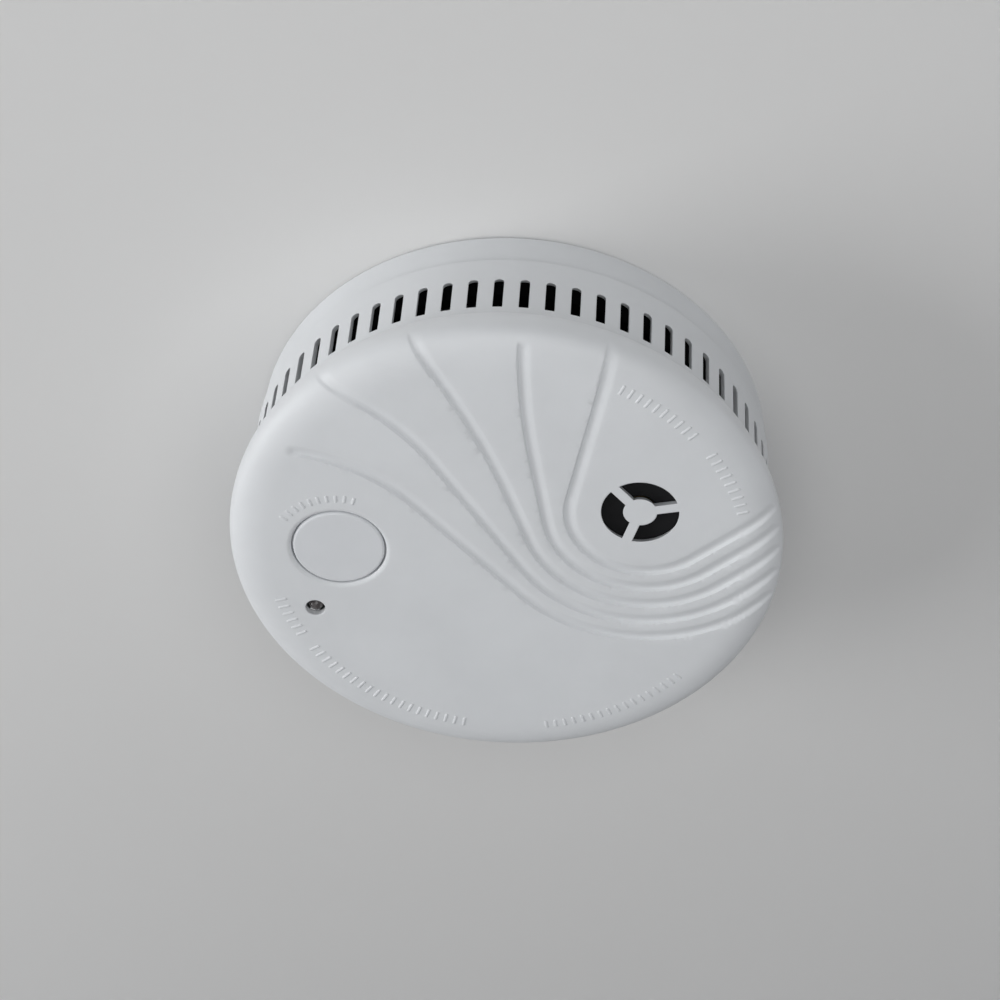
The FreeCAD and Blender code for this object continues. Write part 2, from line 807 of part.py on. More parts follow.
def piezo_contact(name, offset, low):
    """Spring finger between the board and the piezo disc: a foot, a leaf and a tip."""
    high = "-board_top - board_thick"
    foot = box(name + "_foot", ("4", "1.6", "0.3"), (f"sounder_x + {offset}", "sounder_y", high + " - 0.3"))
    leaf = box(name + "_leaf", ("0.3", "1.6", f"horn_ledge - board_top - board_thick - {low}"),
               (f"sounder_x + {offset} + 3.7", "sounder_y", f"-horn_ledge + {low}"))
    tip = box(name + "_tip", ("2", "1.6", "0.3"),
              (f"sounder_x + {offset} + 2", "sounder_y", f"-horn_ledge + {low}"))
    return label(fuse(name + "_fused", [foot, leaf, tip]), name)


# ---------------------------------------------------------------- battery and contacts


def battery():
    block = box("battery_block", ("battery_length", "battery_width", "battery_thick"),
                ("battery_left", "battery_y - 0.5*battery_width", "-battery_top - battery_thick"))
    doc.recompute()
    rounded = doc.addObject("Part::Fillet", "battery_rounded")
    rounded.Base = block
    radius = number("battery_corner")
    along = [index for index, edge in enumerate(block.Shape.Edges, start=1)
             if abs(abs(edge.tangentAt(edge.FirstParameter).x) - 1.0) < 1e-6]
    rounded.Edges = [(index, radius, radius) for index in along]
    return label(rounded, "battery")


def along_x(name, radius, length, x, y):
    """Round piece on the battery's middle level, pointing along +X."""
    piece = doc.addObject("Part::Cylinder", name)
    piece.Radius = radius
    piece.Height = length
    level = -number("battery_top + 0.5*battery_thick")
    piece.Placement = Placement(Vector(x, y, level), Rotation(Vector(0, 1, 0), 90))
    return piece


def battery_stud(name, radius, side):
    x = number("battery_left + battery_length")
    y = number("battery_y") + side * 0.5 * number("stud_pitch")
    return label(along_x(name, radius, number("stud_length"), x, y), name)


def terminal_block():
    """Insulating block at the bay's end that carries the two battery contacts."""
    near = "battery_left + battery_length + stud_length + 1.2"
    length = "bay_right - battery_left - battery_length - stud_length - 3.8"
    block = box("terminal_body", (length, "25", "12"),
                (near, "battery_y - 12.5", "-battery_top - 0.5*battery_thick - 6"))
    bores = []
    for side in (-1, 1):
        y = number("battery_y") + side * 0.5 * number("stud_pitch")
        bores.append(along_x("rivet_bore", number("rivet_radius"), 4.0, number(near) - 1.2, y))
    return label(cut("terminal_cut", block, fuse("rivet_bores", bores)), "terminal_block")


def battery_contact(name, side):
    """Snap disc against the battery's stud, with a blade behind the block down to the board."""
    x = number("battery_left + battery_length + stud_length")
    y = number("battery_y") + side * 0.5 * number("stud_pitch")
    disc = along_x(name + "_disc", 4.0, 1.2, x, y)
    drop = "board_top + board_thick + 5 - battery_top - 0.5*battery_thick"
    blade = box(name + "_blade", ("0.8", "4", drop),
                ("bay_right - 2.4", f"battery_y + {side}*0.5*stud_pitch - 2", "-board_top - board_thick - 1"))
    rivet = along_x(name + "_rivet", number("rivet_radius"), number("bay_right - 2") - x, x, y)
    return label(fuse(name + "_fused", [disc, blade, rivet]), name)


# ---------------------------------------------------------------- screws


def screw(name, x, y, seat, length, shank):
    """Pan-head screw pointing down, its head's lower face at the seat depth."""
    head = cylinder(name + "_head", "head_radius", "1.6", x, y, seat)
    shaft = cylinder(name + "_shank", shank, length + " + 0.2", x, y, f"{seat} - {length}")
    return fuse(name, [head, shaft])


def housing_screws():
    screws = []
    for angle in BOSS_ANGLES:
        x, y = boss_place(angle)
        screws.append(screw("housing_screw", x, y, "-boss_top + 2", "10", "pilot_radius"))
    return group("housing_screws", screws)


def board_screws():
    screws = []
    for x, y in BOARD_SCREWS:
        head = cylinder("board_screw_head", "head_radius", "1.5",
                        str(x), str(y), "-board_top - board_thick - 1.5")
        shaft = cylinder("board_screw_shank", "0.8*pilot_radius", "8",
                         str(x), str(y), "-board_top - board_thick - 0.2")
        screws.append(fuse("board_screw", [head, shaft]))
    return group("board_screws", screws)


# ---------------------------------------------------------------- assembly

NODES = [
    mounting_base(),
    rear_housing(),
    front_cover(),
    test_button(),
    button_spring(),
    test_switch(),
    switch_plunger(),
    indicator_led(),
    led_spacer(),
    circuit_board(),
    detector_chip(),
    storage_capacitor(),
    horn_inductor(),
    resistors(),
    ceramic_capacitors(),
    chamber_base(),
    chamber_cover(),
    insect_screen(),
    lying_device("ir_emitter", 2.5, 6.0, 200.0, 14.0),
    lying_device("photodiode", 2.0, 3.0, 335.0, 13.0),
    horn_housing(),
    piezo_disc(),
    piezo_ceramic(),
    piezo_contact("piezo_contact_centre", "-4", "2*piezo_thick"),
    piezo_contact("piezo_contact_edge", "8", "piezo_thick"),
    battery(),
    battery_stud("battery_stud_positive", 2.85, 1),
    battery_stud("battery_stud_negative", 3.9, -1),
    terminal_block(),
    battery_contact("battery_contact_positive", 1),
    battery_contact("battery_contact_negative", -1),
    housing_screws(),
    board_screws(),
]

doc.recompute()
for item in doc.Objects:
    if "Invalid" in item.State or "Error" in item.State:
        raise RuntimeError(f"{item.Name} ({item.Label}) failed: {item.State}")

os.makedirs("parts", exist_ok=True)
for node in NODES:
    shape = node.Shape
    if shape.isNull() or not shape.isValid():
        raise RuntimeError(f"{node.Label} has no valid shape")
    shape.exportStep(f"parts/{node.Label}.step")
    print(f"{node.Label}: {len(shape.Solids)} solid(s), {shape.Volume:.1f} mm3")
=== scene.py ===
import json
import math

import bmesh
import bpy
import numpy as np
from mathutils import Matrix, Vector
from mathutils.geometry import delaunay_2d_cdt


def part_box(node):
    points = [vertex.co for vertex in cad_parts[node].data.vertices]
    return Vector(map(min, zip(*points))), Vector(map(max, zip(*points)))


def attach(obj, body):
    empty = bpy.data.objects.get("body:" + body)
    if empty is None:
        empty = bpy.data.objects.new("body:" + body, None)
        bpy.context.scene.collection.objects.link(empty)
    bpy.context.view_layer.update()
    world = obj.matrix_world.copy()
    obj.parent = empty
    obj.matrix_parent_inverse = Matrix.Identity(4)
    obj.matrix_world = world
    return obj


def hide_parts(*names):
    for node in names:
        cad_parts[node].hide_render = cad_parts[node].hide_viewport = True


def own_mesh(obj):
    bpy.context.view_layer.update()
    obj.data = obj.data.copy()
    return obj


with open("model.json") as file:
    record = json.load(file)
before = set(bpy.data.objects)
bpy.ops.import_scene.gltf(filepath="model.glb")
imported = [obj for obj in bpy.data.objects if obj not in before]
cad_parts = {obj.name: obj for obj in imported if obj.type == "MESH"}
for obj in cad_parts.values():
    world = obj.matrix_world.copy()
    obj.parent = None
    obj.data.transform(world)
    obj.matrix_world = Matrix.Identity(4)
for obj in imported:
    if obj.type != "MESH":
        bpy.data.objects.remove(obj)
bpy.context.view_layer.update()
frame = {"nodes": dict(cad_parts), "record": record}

# A ceiling smoke alarm seen from below. Its sizes are in millimetres and degrees, the stage, lights
# and camera are in metres, and places come from the frame's nodes.
MM = 0.001
nodes = frame["nodes"]


def middle(name):
    """Centre of a CAD node at rest, in millimetres."""
    low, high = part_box(name)
    return (low + high) * 0.5 / MM


cover_low, cover_high = (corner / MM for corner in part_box("front_cover"))
FACE = cover_low.z
WALL_TOP = cover_high.z
RIM = cover_high.x
SOUNDER = middle("piezo_disc").to_2d()
BUTTON = middle("test_button").to_2d()
LED = middle("indicator_led").to_2d()

# Cover profile: a straight wall, a crease, a bulge out to the widest place and a rounded rim,
# which is a quarter of a superellipse
THICK = 1.2
FACE_THICK = 1.4
WALL = RIM - 2.5
LIP = 0.4
CREASE = FACE + 10.2
CREASE_SOFT = 0.25
INNER_FOOT = CREASE - 0.4
WIDEST = FACE + 4.2
BULGE_STEPS = 8
BULGE_CLEAR = 0.03
RIM_WIDTH = 8.0
RIM_POWER = 2.3
RIM_STEPS = 20
INSIDE = FACE + FACE_THICK

# Vent slots: each is an arch over straight sides, and opens out towards the inside of the wall
SLOT_COUNT = 66
SLOT_HALF = 0.9
SLOT_TOP = -14.4
SLOT_FOOT = -22.9
SLOT_DRAFT = 0.4
ARCH_DRAFT = 0.9
ARCH_STEPS = 8
WEB_STEPS = 8

# Swirl of grooves round the sounder: how far each leans at the sounder, the length of its
# straight flank, the radius of the bend before it (negative bends the other way) and its sweep
SWIRLS = [
    (-8.5, 20.0, 600.0, 1.6),
    (13.0, 16.0, -150.0, 10.0),
    (23.0, 12.0, 161.0, 14.8),
    (36.5, 31.0, 50.0, 32.0),
    (46.0, 30.0, 38.3, 38.6),
]
SWIRL_RADIUS = 15.2
SWIRL_PITCH = 4.3
SWIRL_EXIT = 43.0
SWIRL_END = 52.6
SWIRL_OFFSET = (0.9, 0.5)
SWIRL_STEP = 1.0
# Each groove drops steeply on its outer side, has a short floor and climbs gently towards the
# sounder. These are its depth and the distances of those runs from its line.
SWIRL_DEPTH = 0.55
SWIRL_STEEP = (-0.38, 0.08)
SWIRL_GENTLE = (0.35, 2.5)
SWIRL_FADE = 0.6
FAR = 1e9

# Openings in the face
GRILLE_RADIUS = 7.4
GRILLE_HUB = 3.25
GRILLE_SPOKE = 1.0
GRILLE_ANGLE = 105.0
GRILLE_DRAFT = 0.6
BUTTON_HOLE = 9.25
BUTTON_SOFT = 1.0
BUTTON_STEPS = 144
LED_HOLE = 1.95
LED_SOFT = 0.15
LED_STEPS = 48
SOFT_RINGS = 7
SOFT_DROP = 0.45
SOFT_POWER = 2.2

# Spacing of the face's vertices: over the grooves, on the flat and round the grille's windows.
# A place counts as flat where the grooves are less than the limit deep.
FINE_STEP = 0.22
COARSE_STEP = 1.4
GRILLE_STEP = 0.45
FLAT_LIMIT = 0.002
EDGE_GAP = 0.55
WELD = 1e-7


# ---------------------------------------------------------------- materials


class Nodes:
    """Shorthand for building one material's node tree."""

    def __init__(self, name):
        self.material = bpy.data.materials.new(name)
        self.material.use_nodes = True
        self.tree = self.material.node_tree
        self.tree.nodes.clear()
        self.output = self.add("ShaderNodeOutputMaterial")
        self.place = self.add("ShaderNodeTexCoord").outputs["Object"]

    def add(self, kind, **values):
        node = self.tree.nodes.new(kind)
        for name, value in values.items():
            setattr(node, name, value)
        return node

    def link(self, source, target):
        self.tree.links.new(source, target)

    def stretched(self, scale):
        """Object coordinates scaled by (x, y, z)."""
        mapping = self.add("ShaderNodeMapping")
        mapping.inputs["Scale"].default_value = scale
        self.link(self.place, mapping.inputs["Vector"])
        return mapping.outputs["Vector"]

    def noise(self, size, detail, stretch=(1.0, 1.0, 1.0)):
        """Noise whose features are about size millimetres across."""
        texture = self.add("ShaderNodeTexNoise")
        texture.inputs["Scale"].default_value = 1.0 / (size * MM)
        texture.inputs["Detail"].default_value = detail
        texture.inputs["Roughness"].default_value = 0.5
        self.link(self.stretched(stretch), texture.inputs["Vector"])
        return texture.outputs["Fac"]

    def ramp(self, source, stops):
        """Colour ramp through (position, colour) stops."""
        ramp = self.add("ShaderNodeValToRGB")
        elements = ramp.color_ramp.elements
        while len(elements) < len(stops):
            elements.new(0.5)
        for element, (position, colour) in zip(elements, stops):
            element.position = position
            element.color = (*colour, 1.0)
        self.link(source, ramp.inputs["Fac"])
        return ramp.outputs["Color"]

    def span(self, noise, low, high):
        """Noise, which mostly runs from 0.25 to 0.75, brought between low and high."""
        mapped = self.add("ShaderNodeMapRange")
        mapped.inputs["From Min"].default_value = 0.25
        mapped.inputs["From Max"].default_value = 0.75
        mapped.inputs["To Min"].default_value = low
        mapped.inputs["To Max"].default_value = high
        self.link(noise, mapped.inputs["Value"])
        return mapped.outputs["Result"]

    def bump(self, height, distance, strength=1.0, under=None):
        """Bump of distance millimetres, over another normal where one is given."""
        bump = self.add("ShaderNodeBump")
        bump.inputs["Strength"].default_value = strength
        bump.inputs["Distance"].default_value = distance * MM
        self.link(height, bump.inputs["Height"])
        if under is not None:
            self.link(under, bump.inputs["Normal"])
        return bump.outputs["Normal"]

    def principled(self, colour, roughness, normal, **constants):
        """Finishes the material. Constants are named as the sockets, with _ for a space."""
        shader = self.add("ShaderNodeBsdfPrincipled")
        self.link(colour, shader.inputs["Base Color"])
        self.link(roughness, shader.inputs["Roughness"])
        self.link(normal, shader.inputs["Normal"])
        for name, value in constants.items():
            shader.inputs[name.replace("_", " ")].default_value = value
        self.link(shader.outputs["BSDF"], self.output.inputs["Surface"])
        return self.material


def tint(colour, amount):
    return tuple(max(0.0, channel * amount) for channel in colour)


def moulded(name, colour, rough=(0.42, 0.55), grain=0.012, soft_edge=0.25, mottle=0.03,
            shine=0.5):
    """Injection-moulded plastic: a faint flow mottle, fine spark-eroded grain and soft edges."""
    m = Nodes(name)
    dark, light = tint(colour, 1.0 - mottle), tint(colour, 1.0 + 0.5 * mottle)
    tone = m.ramp(m.noise(14.0, 4.0), [(0.3, dark), (0.7, light)])
    gloss = m.span(m.noise(5.0, 5.0), *rough)
    edge = m.add("ShaderNodeBevel", samples=6)
    edge.inputs["Radius"].default_value = soft_edge * MM
    waves = m.bump(m.noise(9.0, 1.0), 0.05, 0.5, edge.outputs["Normal"])
    grained = m.bump(m.noise(0.35, 2.0), grain, 1.0, waves)
    return m.principled(tone, gloss, grained, IOR=1.47, Specular_IOR_Level=shine)


def metal(name, colour, stretch, rough=(0.25, 0.4)):
    """Drawn or rolled metal with fine lines across the stretch and slight tarnish."""
    m = Nodes(name)
    tone = m.ramp(m.noise(4.0, 4.0), [(0.25, tint(colour, 0.78)), (0.7, colour)])
    lines = m.noise(0.4, 3.0, stretch)
    gloss = m.span(lines, *rough)
    return m.principled(tone, gloss, m.bump(lines, 0.01, 0.6), Metallic=1.0)


def speckled(name, colour, spot, size, rough=(0.3, 0.45), grain=0.02, **constants):
    """Coated or laminated part with spots of a second tone."""
    m = Nodes(name)
    cells = m.noise(size, 4.0)
    tone = m.ramp(cells, [(0.42, spot), (0.58, colour)])
    gloss = m.span(m.noise(3.0, 3.0), *rough)
    return m.principled(tone, gloss, m.bump(cells, grain), **constants)


LENGTHWISE = (0.1, 1.0, 1.0)
UPRIGHT = (1.0, 1.0, 0.1)
MATERIALS = {
    "white_plastic": moulded("white_plastic", (0.775, 0.795, 0.815)),
    "button_plastic": moulded("button_plastic", (0.765, 0.785, 0.81), (0.36, 0.48), 0.008),
    "black_plastic": moulded("black_plastic", (0.009, 0.009, 0.01), (0.6, 0.75), 0.02, 0.15, 0.15,
                             0.2),
    "switch_plastic": moulded("switch_plastic", (0.09, 0.09, 0.1), (0.45, 0.6), 0.01, 0.1, 0.1),
    "chip_plastic": moulded("chip_plastic", (0.03, 0.03, 0.034), (0.5, 0.62), 0.012, 0.1, 0.12),
    "spring_steel": metal("spring_steel", (0.62, 0.63, 0.65), UPRIGHT),
    "screen_steel": metal("screen_steel", (0.5, 0.51, 0.52), UPRIGHT, (0.3, 0.5)),
    "screw_steel": metal("screw_steel", (0.6, 0.61, 0.63), UPRIGHT, (0.28, 0.42)),
    "contact_metal": metal("contact_metal", (0.75, 0.74, 0.7), UPRIGHT, (0.18, 0.3)),
    "terminal_metal": metal("terminal_metal", (0.78, 0.78, 0.78), LENGTHWISE, (0.15, 0.28)),
    "piezo_brass": metal("piezo_brass", (0.78, 0.6, 0.3), LENGTHWISE, (0.25, 0.4)),
    "battery_wrap": speckled("battery_wrap", (0.13, 0.14, 0.16), (0.1, 0.11, 0.125),
                             6.0, (0.22, 0.36), 0.01),
    "board_green": speckled("board_green", (0.045, 0.2, 0.1), (0.03, 0.14, 0.075),
                            1.6, (0.22, 0.35), 0.03),
    "capacitor_sleeve": speckled("capacitor_sleeve", (0.04, 0.055, 0.15), (0.03, 0.04, 0.11), 3.0),
    "inductor_ferrite": speckled("inductor_ferrite", (0.16, 0.16, 0.17), (0.1, 0.1, 0.105),
                                 0.8, (0.5, 0.7)),
    "resistor_body": speckled("resistor_body", (0.66, 0.54, 0.36), (0.3, 0.12, 0.05),
                              1.4, (0.25, 0.4)),
    "ceramic_body": speckled("ceramic_body", (0.66, 0.38, 0.15), (0.56, 0.31, 0.12), 1.2,
                             (0.35, 0.5)),
    "piezo_ceramic": speckled("piezo_ceramic", (0.8, 0.78, 0.7), (0.7, 0.68, 0.62), 1.0,
                              (0.35, 0.5)),
    "diode_black": speckled("diode_black", (0.03, 0.022, 0.03), (0.02, 0.015, 0.02),
                            1.5, (0.08, 0.16), 0.005),
    "emitter_lens": speckled("emitter_lens", (0.3, 0.33, 0.48), (0.24, 0.27, 0.42), 1.5,
                             (0.06, 0.14), 0.005, Transmission_Weight=0.6),
    "led_lens": speckled("led_lens", (0.16, 0.15, 0.15), (0.09, 0.08, 0.08), 1.2,
                         (0.08, 0.18), 0.005, Transmission_Weight=0.25),
}
for part in frame["record"]["subparts"]:
    mesh = nodes[part["node"]].data
    mesh.materials.clear()
    mesh.materials.append(MATERIALS[part["material_slot"]])


# ---------------------------------------------------------------- the face as a height field


def direction(degrees):
    """Unit vector at an angle from X."""
    return np.array([math.cos(math.radians(degrees)), math.sin(math.radians(degrees))])


def swirl_path(index):
    """Groove line as (x, y) points: bend, straight flank, arc round the sounder, exit."""
    lean, flank, bend, sweep = SWIRLS[index]
    centre = np.array(SOUNDER) + SWIRL_OFFSET
    radius = SWIRL_RADIUS + index * SWIRL_PITCH

    join = 180.0 - lean
    leave = 90.0 - SWIRL_EXIT
    back = direction(-90.0 - lean)
    flank_end = centre + direction(join) * radius + back * flank
    side = np.array([back[1], -back[0]]) * bend
    pivot = flank_end + side
    start = math.degrees(math.atan2(-side[1], -side[0]))
    turn = -math.copysign(sweep, bend)
    steps = max(2, round(abs(bend) * math.radians(sweep) / SWIRL_STEP))
    points = [pivot + direction(start + turn * (1.0 - step / steps)) * abs(bend)
              for step in range(steps)]
    points.append(flank_end)
    steps = round(radius * math.radians(join - leave) / SWIRL_STEP)
    points += [centre + direction(join + (leave - join) * step / steps) * radius
               for step in range(steps + 1)]
    depart = points[-1]
    out = direction(-SWIRL_EXIT)
    along = depart @ out
    points.append(depart + out * (math.sqrt(along ** 2 - depart @ depart + SWIRL_END ** 2) - along))
    return np.array(points)


def smooth(value, low, high):
    """0 below low, 1 above high and an even curve between them."""
    share = np.clip((value - low) / (high - low), 0.0, 1.0)
    return share * share * (3.0 - 2.0 * share)


SWIRL_PATHS = [swirl_path(index) for index in range(len(SWIRLS))]


def swirl_depth(places):
    """Depth of the grooves at an array of (x, y) places. For each groove it finds the distance from
    its line, positive towards the sounder, and how far a place lies beyond its ends."""
    depth = np.zeros(len(places))
    for path in SWIRL_PATHS:
        nearest = np.full(len(places), FAR)
        inward = np.zeros(len(places))
        beyond = np.zeros(len(places))
        for index, (start, end) in enumerate(zip(path[:-1], path[1:])):
            length = np.linalg.norm(end - start)
            heading = (end - start) / length
            offset = places - start
            along = offset @ heading
            across = heading[1] * offset[:, 0] - heading[0] * offset[:, 1]
            over = np.abs(along - np.clip(along, 0.0, length))
            distance = np.hypot(across, over)
            ended = np.zeros(len(places), bool)
            if index == 0:
                ended |= along < 0.0
            if index == len(path) - 2:
                ended |= along > length
            closer = distance < nearest
            nearest = np.where(closer, distance, nearest)
            inward = np.where(closer, np.where(ended, across, np.sign(across) * distance), inward)
            beyond = np.where(closer, np.where(ended, over, 0.0), beyond)
        section = smooth(inward, *SWIRL_STEEP) * (1.0 - smooth(inward, *SWIRL_GENTLE))
        depth = np.maximum(depth, SWIRL_DEPTH * section * np.exp(-(beyond / SWIRL_FADE) ** 2))
    return depth


def rim_height(radius):
    """Height of the undisturbed face above its lowest level, at a distance from the axis."""
    share = np.clip((radius - RIM + RIM_WIDTH) / RIM_WIDTH, 0.0, 1.0)
    return (WIDEST - FACE) * (1.0 - (1.0 - share ** RIM_POWER) ** (1.0 / RIM_POWER))


# ---------------------------------------------------------------- mesh building


class Shell:
    """Collects vertices and faces of one closed piece."""

    def __init__(self):
        self.points = []
        self.faces = []

    def add(self, points):
        """Adds a row of points and gives their indices."""
        first = len(self.points)
        self.points.extend(tuple(float(value) for value in point) for point in points)
        return list(range(first, len(self.points)))

    def bridge(self, upper, lower):
        """Quads between two closed rows of equal length."""
        count = len(upper)
        for here in range(count):
            there = (here + 1) % count
            self.faces.append((upper[here], upper[there], lower[there], lower[here]))

    def object(self, name, material, sharp=35.0):
        """The piece, with faces turned outwards and edges sharp above an angle."""
        mesh = bpy.data.meshes.new(name)
        mesh.from_pydata([(x * MM, y * MM, z * MM) for x, y, z in self.points], [], self.faces)
        skin = bmesh.new()
        skin.from_mesh(mesh)
        bmesh.ops.recalc_face_normals(skin, faces=skin.faces)
        skin.to_mesh(mesh)
        skin.free()
        mesh.shade_smooth()
        mesh.set_sharp_from_angle(angle=math.radians(sharp))
        mesh.materials.append(material)
        piece = bpy.data.objects.new(name, mesh)
        bpy.context.scene.collection.objects.link(piece)
        return piece


def round_points(centre, radius, angles):
    """Places at angles on a circle."""
    x = centre[0] + radius * np.cos(angles)
    y = centre[1] + radius * np.sin(angles)
    return np.stack([x, y], axis=1)


def circle(centre, radius, count):
    return round_points(centre, radius, 2.0 * math.pi * np.arange(count) / count)


def grille_window(turn, grown):
    """Outline of one curved window between two parallel-sided spokes, grown by a margin."""
    first = GRILLE_ANGLE + 120.0 * turn
    outline = []
    arcs = ((GRILLE_RADIUS, GRILLE_RADIUS + grown, True), (GRILLE_HUB, GRILLE_HUB - grown, False))
    for nominal, radius, forward in arcs:
        margin = math.degrees(math.asin((GRILLE_SPOKE - 0.6 * grown) / radius))
        low, high = first + margin, first + 120.0 - margin
        steps = round(nominal * math.radians(100.0) / GRILLE_STEP)
        angles = np.radians(low + (high - low) * np.arange(steps + 1) / steps)
        arc = round_points(SOUNDER, radius, angles)
        outline.append(arc if forward else arc[::-1])
    return np.concatenate(outline)


def inside(places, outline):
    """Which places lie inside a closed outline."""
    x, y = places[:, 0], places[:, 1]
    hit = np.zeros(len(places), bool)
    for (x1, y1), (x2, y2) in zip(outline, np.roll(outline, -1, axis=0)):
        crosses = (y1 > y) != (y2 > y)
        if crosses.any():
            where = (x2 - x1) * (y - y1) / (y2 - y1 + 1e-30) + x1
            hit ^= crosses & (x < where)
    return hit


def near_outline(places, outline, gap):
    """Which places lie within gap of an outline."""
    close = np.zeros(len(places), bool)
    for start, end in zip(outline, np.roll(outline, -1, axis=0)):
        run = end - start
        share = np.clip((places - start) @ run / (run @ run), 0.0, 1.0)
        away = places - start - share[:, None] * run
        close |= (away ** 2).sum(axis=1) < gap ** 2
    return close


def triangle_grid(reach, step):
    """Places at the corners of equal triangles, out to a distance along X and Y."""
    rows = np.arange(-reach, reach, step * math.sqrt(0.75))
    columns = np.arange(-reach, reach, step)
    return np.array([(x + (row % 2) * 0.5 * step, y)
                     for row, y in enumerate(rows) for x in columns])


def sheet(shell, edge, holes, depth):
    """Fills the ring of vertices edge with triangles at its own level, leaving the holes' rings
    open. The grid is fine where the sheet has any depth and coarse where it is flat."""
    loops = [edge] + holes
    outlines = [np.array([shell.points[index][:2] for index in loop]) for loop in loops]
    reach = np.abs(outlines[0]).max()
    parts = []
    for step, grooved in ((FINE_STEP, True), (COARSE_STEP, False)):
        grid = triangle_grid(reach, step)
        grid = grid[(depth(grid) > FLAT_LIMIT) == grooved]
        keep = inside(grid, outlines[0])
        for outline in outlines[1:]:
            keep &= ~inside(grid, outline)
        grid = grid[keep]
        for outline in outlines:
            grid = grid[~near_outline(grid, outline, EDGE_GAP * step)]
        parts.append(grid)
    grid = np.concatenate(parts)
    level = shell.points[holes[0][0]][2]
    filled = shell.add(np.column_stack([grid, level + depth(grid)]))
    owners = [index for loop in loops for index in loop] + filled
    places = [Vector(place) for outline in outlines for place in outline]
    places += [Vector(place) for place in grid]
    borders = []
    first = 0
    for loop in loops:
        count = len(loop)
        borders += [(first + here, first + (here + 1) % count) for here in range(count)]
        first += count
    points, _, faces, sources, _, _ = delaunay_2d_cdt(places, borders, [], 0, WELD)
    corners = np.array([list(point) for point in points])
    triangles = np.array([face[:3] for face in faces])
    centres = corners[triangles].mean(axis=1)
    keep = inside(centres, outlines[0])
    for outline in outlines[1:]:
        keep &= ~inside(centres, outline)
    for triangle in triangles[keep]:
        shell.faces.append(tuple(owners[sources[corner][0]] for corner in triangle))


# ---------------------------------------------------------------- front cover


def column_directions(slot_half, radius):
    """Directions of the cover's columns, closer together across each slot."""
    pitch = 2.0 * math.pi / SLOT_COUNT
    half = slot_half / radius
    arch = [-half * math.cos(math.pi * step / ARCH_STEPS) for step in range(ARCH_STEPS + 1)]
    web = [half + (pitch - 2.0 * half) * step / WEB_STEPS for step in range(1, WEB_STEPS)]
    one = np.array(arch + web)
    first = -0.5 * math.pi
    angles = np.concatenate([first + turn * pitch + one for turn in range(SLOT_COUNT)])
    return np.column_stack([np.cos(angles), np.sin(angles)])


